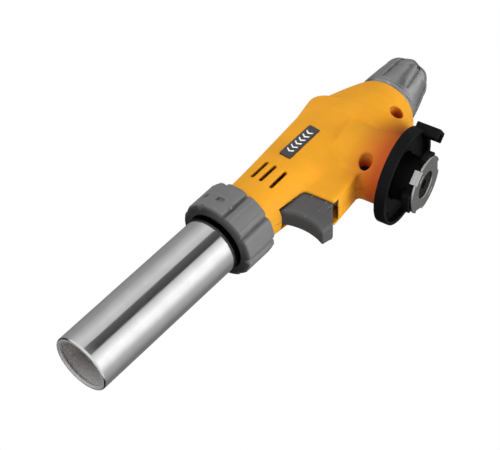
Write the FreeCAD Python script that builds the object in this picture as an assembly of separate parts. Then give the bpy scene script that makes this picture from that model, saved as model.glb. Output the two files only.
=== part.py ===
import FreeCAD, Part

import math
import os

# Gas torch head for a bayonet butane can.
#
# The frame stands on the can seat: +Z runs up the can's axis, away from the can, and z = 0 is the
# rim of the guide ring that meets the can's flange.  +X is the way the flame goes, +Y is the side
# that carries the badge.  Millimetres and degrees.

os.makedirs("parts", exist_ok=True)

V = FreeCAD.Vector

# ---------------------------------------------------------------- driving dimensions

# barrel: flame tube, collar and burner share one axis that climbs forward
BARREL_TILT = 8.9                    # degrees above the plane square to the can's axis
BARREL_FACE = V(67.4, 0, 50.6)       # where the barrel axis meets the front face of the collar

TUBE_RADIUS = 12.5
TUBE_WALL = 0.7
TUBE_FRONT = 77.1                    # mouth, ahead of the collar's front face
TUBE_REAR = -10.8
TUBE_STEP = 0.5                      # ahead of this the tube is full size; behind it the collar runs
TUBE_NECK_RADIUS = 12.2
LIP_RADIUS = 0.9                     # bead rolled inwards round the mouth
TUBE_FLANGE_RADIUS = 13.7

COLLAR_LENGTH = 16.5
COLLAR_RADIUS = 16.7                 # mean radius of the lobed grip
COLLAR_LOBES = 9
COLLAR_LOBE_DEPTH = 0.45

BURNER_RADIUS = 7.5
BURNER_WALL = 0.8
BURNER_FRONT = 67.4
BURNER_REAR = -24.0

JET_FRONT = -27.0                    # the jet blows into the mixing tube across the air gap
JET_REAR = -36.0

ELECTRODE_OFFSET = 9.7               # the spark electrode runs under the burner
ELECTRODE_RADIUS = 0.5
INSULATOR_RADIUS = 1.4

# housing: barrel casing, rear dome, keel behind the trigger, round neck on the can's axis
WALL = 1.6
NECK_RADIUS = 15.0
NECK_BOTTOM = 6.2
NECK_TOP = 24.0
KEEL_HALF_WIDTH = 7.6
KEEL_FRONT = 32.0
KEEL_BOTTOM = 16.6
KEEL_BOTTOM_REAR = 14.8
KEEL_TOP = 40.0
KNOB_AXIS_Z = 28.1
DOME_END = -32.6
DOME_END_RADIUS = 13.6
REAR_ROUNDING = 1.4                  # round the top rear edge of the casing
SCREW_PLACES = [(9.5, 14.6), (-21.0, 16.6)]      # x, z of the two housing screws
SCREW_HEAD_Y = 4.5                   # height of the counterbore's floor
SCREW_POST_RADIUS = 3.3
BADGE_PLACE = (14.6, 42.2)           # x, z of the badge's middle
BADGE_FLOOR = 12.6
BADGE_FACE = 13.8

# trigger
TRIGGER_TRAVEL = 4.0
TRIGGER_HALF_FRONT = 4.6
TRIGGER_HALF_REAR = 5.7
PIEZO_LOW = V(9.2, -4.2, 18.2)
PIEZO_HIGH = V(24.0, 4.2, 25.7)
PLUNGER_Z = 22.0

# valve: inlet on the can's axis, needle on the knob's axis
INLET_RADIUS = 5.0
VALVE_RADIUS = 6.6
SPINDLE_RADIUS = 2.5
SEAT_X = -3.0                        # where the needle's tip closes the gas way
GLAND_FRONT = -20.0
GLAND_REAR = -27.0

# knob
KNOB_LENGTH = 25.4
KNOB_RADIUS = 13.2
KNOB_GROOVES = 7
GROOVE_HALF_WIDTH = 0.8
GROOVE_DEPTH = 0.9
INSERT_REAR = -46.4                  # far end of the brass insert's socket
KNOB_START = -33.1

# can seat
RING_RADIUS = 20.9
RING_HEIGHT = 4.8
RING_WALL = 1.6
BOSS_RADIUS = 10.0
LUG_RADIUS = 13.6
LUG_TOP = -5.0
LUG_BOTTOM = -7.0
LUG_ANGLE = 115.0                    # the first of three lugs
PLATE_RADIUS = 12.5
SEAT_FACE = -8.0                     # lowest face of the seat plate
TONGUE_ANGLE = 55.0                  # the first of three tongues, midway between the lugs
TONGUE_REACH = 10.8                  # outer face of a tongue, from the axis
TONGUE_HALF_WIDTH = 3.1
TONGUE_TOP = -4.4
SEAL_RADIUS = 6.0
STEM_RADIUS = 2.1                    # the can's valve stem enters here
TAB_ANGLE = 146.0                    # where the ring's tab stands with the torch unlocked

RUN_CLEARANCE = 0.3                  # between curved faces that turn or slide past each other


# ---------------------------------------------------------------- helpers

def barrel_placement():
    """Local +Z becomes the barrel axis, and local +X points down and a little forward."""
    turn = FreeCAD.Rotation(V(0, 1, 0), 90 - BARREL_TILT)
    return FreeCAD.Placement(BARREL_FACE, turn)


def on_barrel(shape):
    shape.Placement = barrel_placement().multiply(shape.Placement)
    return shape


def along_x(shape, z):
    """Local +Z becomes +X at the given height."""
    turn = FreeCAD.Rotation(V(0, 1, 0), 90)
    shape.Placement = FreeCAD.Placement(V(0, 0, z), turn).multiply(shape.Placement)
    return shape


def barrel_point(forward, down=0.0):
    return barrel_placement().multVec(V(down, 0, forward))


def turned(profile):
    """Revolve a closed outline of (radius, height) points about Z."""
    points = [V(radius, 0, height) for radius, height in profile]
    face = Part.Face(Part.makePolygon(points + points[:1]))
    return face.revolve(V(0, 0, 0), V(0, 0, 1), 360)


def rod(radius, low, high):
    return Part.makeCylinder(radius, high - low, V(0, 0, low))


def pipe(outer, inner, low, high):
    return rod(outer, low, high).cut(rod(inner, low - 1, high + 1))


def y_rod(radius, x, z, low, high):
    return Part.makeCylinder(radius, high - low, V(x, low, z), V(0, 1, 0))


def box(low, high):
    size = [b - a for a, b in zip(low, high)]
    return Part.makeBox(size[0], size[1], size[2], V(*low))


def prism(points, half_width):
    """Extrude a side outline of (x, z) points to both sides of the middle plane."""
    corners = [V(x, -half_width, z) for x, z in points]
    face = Part.Face(Part.makePolygon(corners + corners[:1]))
    return face.extrude(V(0, 2 * half_width, 0))


def hexagon(radius, low, high):
    """Hexagonal bar along Z; radius is to its corners."""
    angles = [math.pi * corner / 3 for corner in range(7)]
    corners = [V(radius * math.cos(angle), radius * math.sin(angle), low) for angle in angles]
    return Part.Face(Part.makePolygon(corners)).extrude(V(0, 0, high - low))


def ring_of(count, shape, start=0.0):
    """Copies of a shape, evenly spaced about Z."""
    copies = []
    for index in range(count):
        copy = shape.copy()
        copy.rotate(V(0, 0, 0), V(0, 0, 1), start + 360.0 * index / count)
        copies.append(copy)
    return copies


def smooth_route(points, radius):
    """Straight runs joined by tangent arcs, as one wire."""
    edges = []
    start = points[0]
    for before, corner, after in zip(points, points[1:], points[2:]):
        back = (before - corner).normalize()
        ahead = (after - corner).normalize()
        half = back.getAngle(ahead) / 2
        setback = radius / math.tan(half)
        bisector = (back + ahead).normalize()
        centre = corner + bisector * (radius / math.sin(half))
        enter = corner + back * setback
        leave = corner + ahead * setback
        middle = centre - bisector * radius
        edges.append(Part.LineSegment(start, enter).toShape())
        edges.append(Part.Arc(enter, middle, leave).toShape())
        start = leave
    edges.append(Part.LineSegment(start, points[-1]).toShape())
    return Part.Wire(edges)


def swept(route, radius):
    first = route.Edges[0]
    start = first.valueAt(first.FirstParameter)
    direction = first.tangentAt(first.FirstParameter)
    section = Part.Wire(Part.makeCircle(radius, start, direction))
    return route.makePipeShell([section], True, False)


def save(shape, name):
    shape.exportStep(f"parts/{name}.step")


# ---------------------------------------------------------------- barrel

def flame_tube():
    inside = TUBE_RADIUS - TUBE_WALL
    bead_middle = TUBE_FRONT - LIP_RADIUS
    sleeve = pipe(TUBE_RADIUS, inside, TUBE_STEP, bead_middle)
    neck = pipe(TUBE_NECK_RADIUS, inside, TUBE_REAR, TUBE_STEP)
    bead = Part.makeTorus(TUBE_RADIUS - LIP_RADIUS, LIP_RADIUS, V(0, 0, bead_middle))
    flange = pipe(TUBE_FLANGE_RADIUS, inside, TUBE_REAR, TUBE_REAR + TUBE_WALL)
    return on_barrel(sleeve.fuse([neck, bead, flange]))


def lobed_outline(mean, depth, height):
    count = COLLAR_LOBES * 8
    points = []
    for index in range(count):
        angle = 2 * math.pi * index / count
        radius = mean + depth * math.cos(COLLAR_LOBES * angle)
        points.append(V(radius * math.cos(angle), radius * math.sin(angle), height))
    curve = Part.BSplineCurve()
    curve.interpolate(points, PeriodicFlag=True)
    return Part.Wire(curve.toShape())


def collar():
    grip = Part.Face(lobed_outline(COLLAR_RADIUS, COLLAR_LOBE_DEPTH, -COLLAR_LENGTH))
    grip = grip.extrude(V(0, 0, COLLAR_LENGTH))
    widest = COLLAR_RADIUS + COLLAR_LOBE_DEPTH + 0.1
    trimmed = turned([(0, -COLLAR_LENGTH), (widest - 1.0, -COLLAR_LENGTH), (widest, -COLLAR_LENGTH + 1.2),
                      (widest, -1.6), (widest - 1.1, 0), (0, 0)])
    grip = grip.common(trimmed)
    hole = TUBE_RADIUS + RUN_CLEARANCE
    cavity = TUBE_FLANGE_RADIUS + RUN_CLEARANCE + 0.3
    shoulder = TUBE_REAR + TUBE_WALL + RUN_CLEARANCE
    bore = turned([(0, -COLLAR_LENGTH - 1), (cavity, -COLLAR_LENGTH - 1), (cavity, shoulder),
                   (hole, shoulder), (hole, shoulder + 1.6), (cavity, shoulder + 1.6), (cavity, -2.4),
                   (hole, -2.4), (hole, 1), (0, 1)])
    return on_barrel(grip.cut(bore))


def tube_holder():
    """Die-cast spider that carries the burner and gives the collar its thread."""
    back = -COLLAR_LENGTH + 0.8
    front = TUBE_REAR - 0.1
    rim = pipe(TUBE_FLANGE_RADIUS - 0.1, 10.6, back, front)
    spigot = pipe(11.0, 10.0, back - 8.0, front)
    hub = pipe(BURNER_RADIUS + 1.6, BURNER_RADIUS, back - 8.0, front)
    spokes = ring_of(4, box((BURNER_RADIUS + 0.8, -1.2, back - 8.0), (10.4, 1.2, back - 3.0)), 45)
    lead_hole = rod(INSULATOR_RADIUS, -40, 0).translated(V(ELECTRODE_OFFSET, 0, 0))
    return on_barrel(rim.fuse([spigot, hub] + spokes).cut(lead_hole))


def burner_tube():
    inside = BURNER_RADIUS - BURNER_WALL
    return on_barrel(pipe(BURNER_RADIUS, inside, BURNER_REAR, BURNER_FRONT))


def flame_holder():
    """Perforated disc inside the burner's front end."""
    radius = BURNER_RADIUS - BURNER_WALL
    disc = rod(radius, BURNER_FRONT - 6.0, BURNER_FRONT - 2.5)
    middle = rod(1.3, BURNER_FRONT - 7, BURNER_FRONT)
    holes = ring_of(8, rod(1.0, BURNER_FRONT - 7, BURNER_FRONT).translated(V(4.3, 0, 0)))
    return on_barrel(disc.cut([middle] + holes))


def mixing_tube():
    """Venturi pressed into the burner's back end, with four air ports."""
    radius = BURNER_RADIUS - BURNER_WALL
    venturi = turned([(5.2, BURNER_REAR - 2.0), (radius, BURNER_REAR - 2.0), (radius, BURNER_REAR + 26.0),
                      (5.6, BURNER_REAR + 26.0), (3.2, BURNER_REAR + 10.0), (3.2, BURNER_REAR + 6.0)])
    return on_barrel(venturi)


def gas_jet():
    """Turned jet with the fine hole that meters the gas."""
    outline = [(0.25, JET_REAR), (3.0, JET_REAR), (3.0, JET_REAR + 5.0), (1.6, JET_FRONT), (0.25, JET_FRONT)]
    return on_barrel(turned(outline))


def jet_holder():
    """Hexagon nut that joins the jet to the gas pipe and carries the mixing tube on three legs."""
    nut = hexagon(5.0, JET_REAR - 5.0, JET_REAR + 3.5)
    legs = ring_of(3, box((4.0, -0.8, JET_REAR), (5.6, 0.8, BURNER_REAR - 2.0)), 30)
    holder = nut.fuse(legs)
    holder = holder.cut([rod(3.0, JET_REAR, JET_REAR + 6), rod(2.0, JET_REAR - 6, JET_REAR + 1)])
    return on_barrel(holder)


def electrode():
    """Steel wire in the insulator, its tip turned up towards the burner's rim."""
    tip = BURNER_FRONT - 3.0
    route = smooth_route([V(ELECTRODE_OFFSET, 0, -20), V(ELECTRODE_OFFSET, 0, tip - 3.5),
                          V(BURNER_RADIUS + 1.2, 0, tip)], 2.0)
    return on_barrel(swept(route, ELECTRODE_RADIUS))


def insulator():
    sleeve = pipe(INSULATOR_RADIUS, ELECTRODE_RADIUS, -19, BURNER_FRONT - 18.0)
    return on_barrel(sleeve.translated(V(ELECTRODE_OFFSET, 0, 0)))


# ---------------------------------------------------------------- housing

def egg_section(x, top, bottom, half_width, inset, power):
    """Closed curve in a plane square to X; power 2 is an ellipse, more is squarer."""
    middle = (top + bottom) / 2
    tall = (top - bottom) / 2 - inset
    wide = half_width - inset
    points = []
    for index in range(24):
        angle = 2 * math.pi * (index + 0.5) / 24
        across = math.cos(angle)
        up = math.sin(angle)
        y = wide * math.copysign(abs(across) ** (2 / power), across)
        z = tall * math.copysign(abs(up) ** (2 / power), up)
        points.append(V(x, y, middle + z))
    curve = Part.BSplineCurve()
    curve.interpolate(points, PeriodicFlag=True)
    return Part.Wire(curve.toShape())


def barrel_casing(inset):
    """Casing round the burner, from the collar back over the valve."""
    # x, top, bottom, half width
    stations = [(52.6, 60.0, 35.0, 12.6), (38.0, 58.3, 31.0, 12.9), (24.0, 57.2, 26.6, 13.3),
                (10.0, 56.2, 22.2, 13.6), (-3.0, 55.3, 18.0, 14.1), (-15.8 + inset, 55.8, 13.8, 14.4)]
    sections = [egg_section(x, top, bottom, half, inset, 2.25) for x, top, bottom, half in stations]
    casing = Part.makeLoft(sections, True, False)
    if inset:
        return casing
    rear = [edge for edge in casing.Edges if edge.BoundBox.XMax < stations[-1][0] + 0.1]
    return casing.makeFillet(REAR_ROUNDING, rear)


def rear_dome(inset):
    """Shoulder behind the casing that closes in on the knob."""
    end_top = KNOB_AXIS_Z + DOME_END_RADIUS
    end_bottom = KNOB_AXIS_Z - DOME_END_RADIUS
    # x, top, bottom, half width; the top runs straight down to the knob
    stations = [(-9.0 - inset, 53.0, 6.7, 14.4), (-17.0, 52.6, 7.3, 15.1), (-23.0, 48.6, 9.3, 15.2),
                (-28.4, 44.8, 12.0, 14.7), (DOME_END + inset, end_top, end_bottom, DOME_END_RADIUS)]
    sections = []
    for x, top, bottom, half_width in stations:
        sections.append(egg_section(x, top, bottom, half_width, inset, 2.0))
    return Part.makeLoft(sections, True, False)


def keel(inset):
    outline = [(KEEL_FRONT - inset, KEEL_TOP), (KEEL_FRONT - inset, KEEL_BOTTOM + inset),
               (0.0, KEEL_BOTTOM_REAR + inset), (0.0, KEEL_TOP)]
    return prism(outline, KEEL_HALF_WIDTH - inset)


def neck(inset):
    return rod(NECK_RADIUS - inset, NECK_BOTTOM, NECK_TOP)


def housing_form(inset):
    return barrel_casing(inset).fuse([rear_dome(inset), keel(inset), neck(inset)])


def barrel_mouth():
    """What the collar and the tube holder take from the front of the casing."""
    front = on_barrel(turned([(0, -COLLAR_LENGTH - 0.2), (40, -COLLAR_LENGTH - 0.2), (40, 30), (0, 30)]))
    bore = on_barrel(rod(11.0, -COLLAR_LENGTH - 9.0, 0))
    return [front, bore]


def vent_slots():
    """Three air slots in each flank, in line with the barrel."""
    slots = []
    half = 4.4
    for row in (-5.8, -0.6, 3.6):
        middle = barrel_point(-32.4, -row)
        slot = box((-half, -30, -0.85), (half, 30, 0.85))
        ends = [y_rod(0.85, -half, 0, -30, 30), y_rod(0.85, half, 0, -30, 30)]
        slot = slot.fuse(ends)
        slot.rotate(V(0, 0, 0), V(0, 1, 0), -BARREL_TILT)
        slot.translate(middle)
        slots.append(slot)
    return slots


def trigger_way():
    """Opening in the keel and the casing's underside that the trigger slides in."""
    floor = KEEL_BOTTOM + 1.1
    half = TRIGGER_HALF_REAR + 0.4
    back = KEEL_FRONT - TRIGGER_TRAVEL
    way = box((back - 5.0, -half, floor), (45.2, half, 36.6))
    below = KEEL_BOTTOM - 1.2
    bevel = prism([(back - 1.0, floor + 0.1), (back + 2.7, below), (KEEL_FRONT + 1.0, below),
                   (KEEL_FRONT + 1.0, floor + 0.1)], half)
    return way.fuse(bevel)


def screw_bosses():
    return [y_rod(SCREW_POST_RADIUS, x, z, -11.0, 15.0) for x, z in SCREW_PLACES]


def housing_shell():
    shell = housing_form(0).cut(housing_form(WALL))
    shell = shell.fuse([boss.common(housing_form(0)) for boss in screw_bosses()])
    for x, z in SCREW_PLACES:
        shell = shell.cut(y_rod(2.5, x, z, SCREW_HEAD_Y, 30))
        shell = shell.cut(y_rod(1.5, x, z, 0, 30))
        shell = shell.cut(y_rod(1.3, x, z, -8.5, 0.1))
    openings = barrel_mouth() + vent_slots() + [trigger_way()]
    openings.append(rod(NECK_RADIUS - 3.0, 0, NECK_BOTTOM + WALL + 0.1))
    openings.append(along_x(rod(VALVE_RADIUS + 0.1, -40, -20), KNOB_AXIS_Z))
    openings.append(badge_block(0.0, BADGE_FLOOR, 30))
    return shell.cut(openings)


def housing_half(side):
    """side is +1 for the badge side, -1 for the plain side."""
    low, high = sorted((0.0, side * 40.0))
    return housing_shell().common(box((-80, low, -20), (120, high, 100)))


def badge_block(gap, low, high):
    """Slab in the +Y flank, in line with the barrel."""
    slab = box((-10.0 + gap, low, -2.75 + gap), (10.0 - gap, high, 2.75 - gap))
    slab.rotate(V(0, 0, 0), V(0, 1, 0), -BARREL_TILT)
    slab.translate(V(BADGE_PLACE[0], 0, BADGE_PLACE[1]))
    return slab


def badge():
    return badge_block(0.05, BADGE_FLOOR, BADGE_FACE)


def housing_screws():
    screws = []
    for x, z in SCREW_PLACES:
        head = y_rod(2.2, x, z, SCREW_HEAD_Y + 0.02, SCREW_HEAD_Y + 1.6)
        shank = y_rod(1.3, x, z, -7.5, SCREW_HEAD_Y + 0.1)
        cross = [box((x - 1.4, SCREW_HEAD_Y + 0.8, z - 0.25), (x + 1.4, 20, z + 0.25)),
                 box((x - 0.25, SCREW_HEAD_Y + 0.8, z - 1.4), (x + 0.25, 20, z + 1.4))]
        screws.append(head.fuse(shank).cut(cross))
    return Part.makeCompound(screws)


# ---------------------------------------------------------------- trigger and igniter

def trigger():
    front = Part.Arc(V(44.6, 0, 35.2), V(42.7, 0, 27.0), V(45.5, 0, 15.4)).toShape()
    tip = Part.Arc(V(45.5, 0, 15.4), V(45.6, 0, 14.5), V(45.0, 0, 14.0)).toShape()
    corners = [V(45.0, 0, 14.0), V(41.0, 0, 12.6), V(39.8, 0, 12.9), V(31.2, 0, KEEL_BOTTOM + 1.6),
               V(KEEL_FRONT - 2.0, 0, KEEL_BOTTOM + 1.6), V(KEEL_FRONT - 2.0, 0, 35.6), V(44.6, 0, 35.2)]
    runs = [Part.LineSegment(a, b).toShape() for a, b in zip(corners, corners[1:])]
    face = Part.Face(Part.Wire([front, tip] + runs))
    side = face.extrude(V(0, 40, 0)).translated(V(0, -20, 0))
    half_front = TRIGGER_HALF_FRONT
    half_rear = TRIGGER_HALF_REAR
    plan = [V(52, -half_front, 0), V(52, half_front, 0), V(42, half_front + 0.2, 0), V(33, half_rear, 0),
            V(20, half_rear, 0), V(20, -half_rear, 0), V(33, -half_rear, 0), V(42, -half_front - 0.2, 0)]
    wedge = Part.Face(Part.makePolygon(plan + plan[:1])).extrude(V(0, 0, 60))
    lever = side.common(wedge)
    socket = box((20, -2.6, PLUNGER_Z - 2.6), (KEEL_FRONT, 2.6, PLUNGER_Z + 2.6))
    return lever.cut(socket)


def piezo_body():
    case = box(tuple(PIEZO_LOW), tuple(PIEZO_HIGH))
    bore = box((PIEZO_LOW.x + 5.0, -2.3, PLUNGER_Z - 2.3), (PIEZO_HIGH.x + 1, 2.3, PLUNGER_Z + 2.3))
    return case.cut(bore)


def piezo_plunger():
    return box((PIEZO_HIGH.x - 2.6, -2.1, PLUNGER_Z - 2.1), (KEEL_FRONT - 0.05, 2.1, PLUNGER_Z + 2.1))


def ignition_wire():
    """High-voltage lead from the igniter, up inside the casing to the electrode."""
    end = barrel_point(-20.0, ELECTRODE_OFFSET)
    before = barrel_point(-25.0, ELECTRODE_OFFSET)
    start = V(12.0, 3.0, PIEZO_HIGH.z)
    route = smooth_route([start, V(12.0, 3.0, 33.5), V(24.0, 3.0, 36.5), before, end], 1.8)
    print("ignition lead length", round(route.Length, 1))
    return swept(route, 0.9)


# ---------------------------------------------------------------- gas way

def valve_body():
    """Casting with the inlet on the can's axis and the needle's bore on the knob's axis."""
    inlet = rod(INLET_RADIUS, 2.0, KNOB_AXIS_Z)
    foot = rod(9.9, 4.0, 8.0).fuse(rod(NECK_RADIUS - WALL - 0.3, NECK_BOTTOM + WALL, 10.5))
    barrel = along_x(rod(VALVE_RADIUS, GLAND_FRONT - 6.0, 6.5), KNOB_AXIS_Z)
    outlet = along_x(rod(3.2, 6.0, 9.0), KNOB_AXIS_Z)
    casting = inlet.fuse([foot, barrel, outlet])
    gland_bore = along_x(rod(4.6, GLAND_FRONT - 8.0, GLAND_FRONT + 2.0), KNOB_AXIS_Z)
    slack = SPINDLE_RADIUS + 0.05
    seat = [(0, GLAND_FRONT), (slack, GLAND_FRONT), (slack, SEAT_X - 2.6), (1.0, SEAT_X - 0.4),
            (0, SEAT_X - 0.4)]
    spindle_bore = along_x(turned(seat), KNOB_AXIS_Z)
    seat_bore = along_x(rod(1.0, SEAT_X - 4.0, 12.0), KNOB_AXIS_Z)
    pipe_bore = along_x(rod(2.0, 6.0, 12.0), KNOB_AXIS_Z)
    riser = rod(1.5, 0, KNOB_AXIS_Z).translated(V(SEAT_X - 5.0, 0, 0))
    riser = riser.common(rod(40, 12.0, 40.0))
    well = rod(STEM_RADIUS + 1.0, 0, 13.0)
    link = box((SEAT_X - 5.5, -1.0, 11.0), (1.0, 1.0, 13.0))
    return casting.cut([gland_bore, spindle_bore, seat_bore, pipe_bore, riser, well, link])


def valve_spindle():
    """Needle, seal grooves, screw thread as a plain shank, and a flat for the knob."""
    shaft = turned([(0, SEAT_X), (0.6, SEAT_X), (SPINDLE_RADIUS, SEAT_X - 3.0), (SPINDLE_RADIUS, -12.0),
                    (1.7, -12.0), (1.7, -14.0), (SPINDLE_RADIUS, -14.0), (SPINDLE_RADIUS, INSERT_REAR + 0.4),
                    (0, INSERT_REAR + 0.4)])
    flat = box((1.6, -5, -50), (5, 5, -36))
    return along_x(shaft.cut(flat), KNOB_AXIS_Z)


def spindle_seal():
    return along_x(Part.makeTorus(2.13, 0.42, V(0, 0, -13.0)), KNOB_AXIS_Z)


def gland_nut():
    head = hexagon(5.6, GLAND_REAR - 1.5, GLAND_REAR + 0.9)
    nut = head.fuse(rod(4.6, GLAND_REAR + 0.5, GLAND_FRONT))
    return along_x(nut.cut(rod(SPINDLE_RADIUS + 0.05, -60, 0)), KNOB_AXIS_Z)


def knob_form(inset):
    """Tapered body with a rounded end, as a solid of revolution along X."""
    start = KNOB_START
    end = start - KNOB_LENGTH + inset
    waist = start - 16.6
    base = V(KNOB_RADIUS - inset, 0, start)
    shoulder = V(10.9 - inset, 0, waist)
    rim = V(5.2 - inset, 0, end)
    taper = Part.Arc(base, V(12.4 - inset, 0, start - 8.0), shoulder).toShape()
    nose = Part.Arc(shoulder, V(9.0 - inset, 0, end + 3.0), rim).toShape()
    foot = Part.LineSegment(V(0, 0, start), base).toShape()
    cap = Part.LineSegment(rim, V(0, 0, end)).toShape()
    axis = Part.LineSegment(V(0, 0, end), V(0, 0, start)).toShape()
    face = Part.Face(Part.Wire([foot, taper, nose, cap, axis]))
    return face.revolve(V(0, 0, 0), V(0, 0, 1), 360)


def knob():
    """Hollow grip with a hub for the insert and long finger grooves."""
    hollow = knob_form(1.6)
    grip = knob_form(0).cut(hollow)
    post = rod(5.6, KNOB_START - 23.0, KNOB_START - 2.0).common(hollow)
    web = rod(12.0, KNOB_START - 18.0, KNOB_START - 15.0).common(hollow)
    grip = grip.fuse([post, web]).cut(rod(4.2, INSERT_REAR, 0))
    groove = box((3.0, -GROOVE_HALF_WIDTH, KNOB_START - 22.4), (16, GROOVE_HALF_WIDTH, KNOB_START - 4.6))
    groove = groove.cut(knob_form(GROOVE_DEPTH))
    return along_x(grip.cut(ring_of(KNOB_GROOVES, groove, 105)), KNOB_AXIS_Z)


def knob_insert():
    front = INSERT_REAR + 8.4
    sleeve = pipe(4.2, SPINDLE_RADIUS, INSERT_REAR, front)
    key = box((1.6, -2.2, INSERT_REAR), (2.8, 2.2, front)).common(rod(3.0, -50, -30))
    return along_x(sleeve.fuse(key), KNOB_AXIS_Z)


def gas_pipe():
    """Copper pipe from the valve's outlet up to the jet holder."""
    end = barrel_point(JET_REAR - 1.0)
    before = barrel_point(JET_REAR - 6.0)
    route = smooth_route([V(6.5, 0, KNOB_AXIS_Z), V(14.0, 0, KNOB_AXIS_Z), before, end], 4.0)
    print("gas pipe length", round(route.Length, 1))
    outer = swept(route, 1.95)
    return outer.cut(swept(route, 1.2))


# ---------------------------------------------------------------- can seat

def boss():
    """Fixed black boss with three lugs that turn in under the can's valve cup."""
    core = rod(BOSS_RADIUS, LUG_BOTTOM, 4.0)
    lug = turned([(BOSS_RADIUS - 1, LUG_BOTTOM), (LUG_RADIUS, LUG_BOTTOM), (LUG_RADIUS, LUG_TOP),
                  (BOSS_RADIUS - 1, LUG_TOP + 1.0)])
    sector = box((0, -5.2, -20), (30, 5.2, 10))
    lugs = [lug.common(piece) for piece in ring_of(3, sector, LUG_ANGLE)]
    half = TONGUE_HALF_WIDTH + 0.1
    flat = box((TONGUE_REACH - 1.0, -half, -20), (30, half, TONGUE_TOP + 0.1))
    openings = [rod(7.4, -20, LUG_TOP + 1.0), rod(INLET_RADIUS + 0.1, 1.9, 5), rod(4.2, -20, 5)]
    return core.fuse(lugs).cut(openings + ring_of(3, flat, TONGUE_ANGLE))


def seat_plate():
    """Nickelled steel plate over the lugs, with tongues bent up the boss and a collar round the seal."""
    disc = rod(PLATE_RADIUS, SEAT_FACE, LUG_BOTTOM - 0.02)
    wall = pipe(7.3, SEAL_RADIUS, LUG_BOTTOM - 0.1, LUG_TOP + 0.98)
    half = TONGUE_HALF_WIDTH
    gap = box((TONGUE_REACH, -half, -20), (30, half, 0))
    tongue = box((TONGUE_REACH - 0.9, -half, SEAT_FACE), (TONGUE_REACH, half, TONGUE_TOP))
    slot = box((8.1, -1.7, -20), (9.3, 1.7, 0))
    plate = disc.fuse(wall).cut([rod(SEAL_RADIUS, -20, 0)] + ring_of(3, gap, TONGUE_ANGLE))
    plate = plate.cut(ring_of(2, slot, TONGUE_ANGLE + 3.0))
    return plate.fuse(ring_of(3, tongue, TONGUE_ANGLE))


def stem_seal():
    """Rubber seal the can's valve stem pushes into."""
    return pipe(SEAL_RADIUS - 0.02, STEM_RADIUS, SEAT_FACE + 0.9, LUG_TOP + 0.9)


def inlet_nozzle():
    """Hollow brass pin that presses the can's valve open once the torch is locked on."""
    return turned([(0.6, -4.0), (1.5, -4.0), (1.5, 0.0), (4.1, 0.0), (4.1, 1.9), (3.05, 1.9), (3.05, 9.0),
                   (0.6, 9.0)])


def guide_ring():
    """Cup that turns on the boss and carries the tab for the can's notch."""
    floor = 3.2
    ring = turned([(BOSS_RADIUS + RUN_CLEARANCE, floor), (RING_RADIUS - RING_WALL, floor),
                   (RING_RADIUS - RING_WALL, 0), (RING_RADIUS, 0), (RING_RADIUS, RING_HEIGHT - 0.6),
                   (RING_RADIUS - 0.8, RING_HEIGHT + 0.2), (BOSS_RADIUS + RUN_CLEARANCE, RING_HEIGHT + 0.2)])
    tab = box((17.6, -3.6, -5.8), (22.9, 3.6, 5.0))
    tab = tab.cut(box((15.0, -2.1, -8.0), (21.2, 2.1, floor)))
    tab = tab.cut(turned([(0, floor), (19.0, floor), (19.0, -1.0), (18.6, -10), (0, -10)]))
    tab.rotate(V(0, 0, 0), V(0, 0, 1), TAB_ANGLE)
    return ring.fuse(tab)


def wave_washer():
    """Spring washer that gives the guide ring its drag."""
    return pipe(13.6, BOSS_RADIUS + 0.6, RING_HEIGHT + 0.25, NECK_BOTTOM - 0.05)


PIECES = {
    "flame_tube": flame_tube,
    "collar": collar,
    "tube_holder": tube_holder,
    "burner_tube": burner_tube,
    "flame_holder": flame_holder,
    "mixing_tube": mixing_tube,
    "gas_jet": gas_jet,
    "jet_holder": jet_holder,
    "electrode": electrode,
    "insulator": insulator,
    "housing_right": lambda: housing_half(1),
    "housing_left": lambda: housing_half(-1),
    "badge": badge,
    "housing_screws": housing_screws,
    "trigger": trigger,
    "piezo_body": piezo_body,
    "piezo_plunger": piezo_plunger,
    "ignition_wire": ignition_wire,
    "valve_body": valve_body,
    "valve_spindle": valve_spindle,
    "spindle_seal": spindle_seal,
    "gland_nut": gland_nut,
    "knob": knob,
    "knob_insert": knob_insert,
    "gas_pipe": gas_pipe,
    "boss": boss,
    "seat_plate": seat_plate,
    "stem_seal": stem_seal,
    "inlet_nozzle": inlet_nozzle,
    "guide_ring": guide_ring,
    "wave_washer": wave_washer,
}

for name, make in PIECES.items():
    save(make(), name)
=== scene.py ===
import bpy
import math
import numpy as np
from mathutils import Matrix, Vector


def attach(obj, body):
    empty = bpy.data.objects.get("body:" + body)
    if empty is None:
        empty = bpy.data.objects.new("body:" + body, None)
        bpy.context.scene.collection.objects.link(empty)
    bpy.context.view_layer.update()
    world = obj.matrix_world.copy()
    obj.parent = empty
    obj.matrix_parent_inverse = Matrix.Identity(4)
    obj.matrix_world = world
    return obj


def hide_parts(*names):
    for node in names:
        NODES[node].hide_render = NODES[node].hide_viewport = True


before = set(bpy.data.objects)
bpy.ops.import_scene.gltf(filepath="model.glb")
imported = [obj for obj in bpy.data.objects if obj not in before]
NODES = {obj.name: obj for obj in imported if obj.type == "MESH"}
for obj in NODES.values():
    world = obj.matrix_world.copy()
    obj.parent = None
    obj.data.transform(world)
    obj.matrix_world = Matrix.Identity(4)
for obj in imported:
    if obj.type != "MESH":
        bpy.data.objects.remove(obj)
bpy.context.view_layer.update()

# Gas torch head.  The frame is the CAD's: +Z runs up the can's axis, +X is the way the flame goes and
# +Y is the badge side.  Shapes are worked out in millimetres and turned into metres as meshes.

MM = 0.001

# ---------------------------------------------------------------- sizes shared with the CAD

TILT = math.radians(8.9)
BARREL_FACE = (67.4, 0.0, 50.6)
FORWARD = np.array([math.cos(TILT), 0.0, math.sin(TILT)])
DOWN = np.array([math.sin(TILT), 0.0, -math.cos(TILT)])

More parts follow.
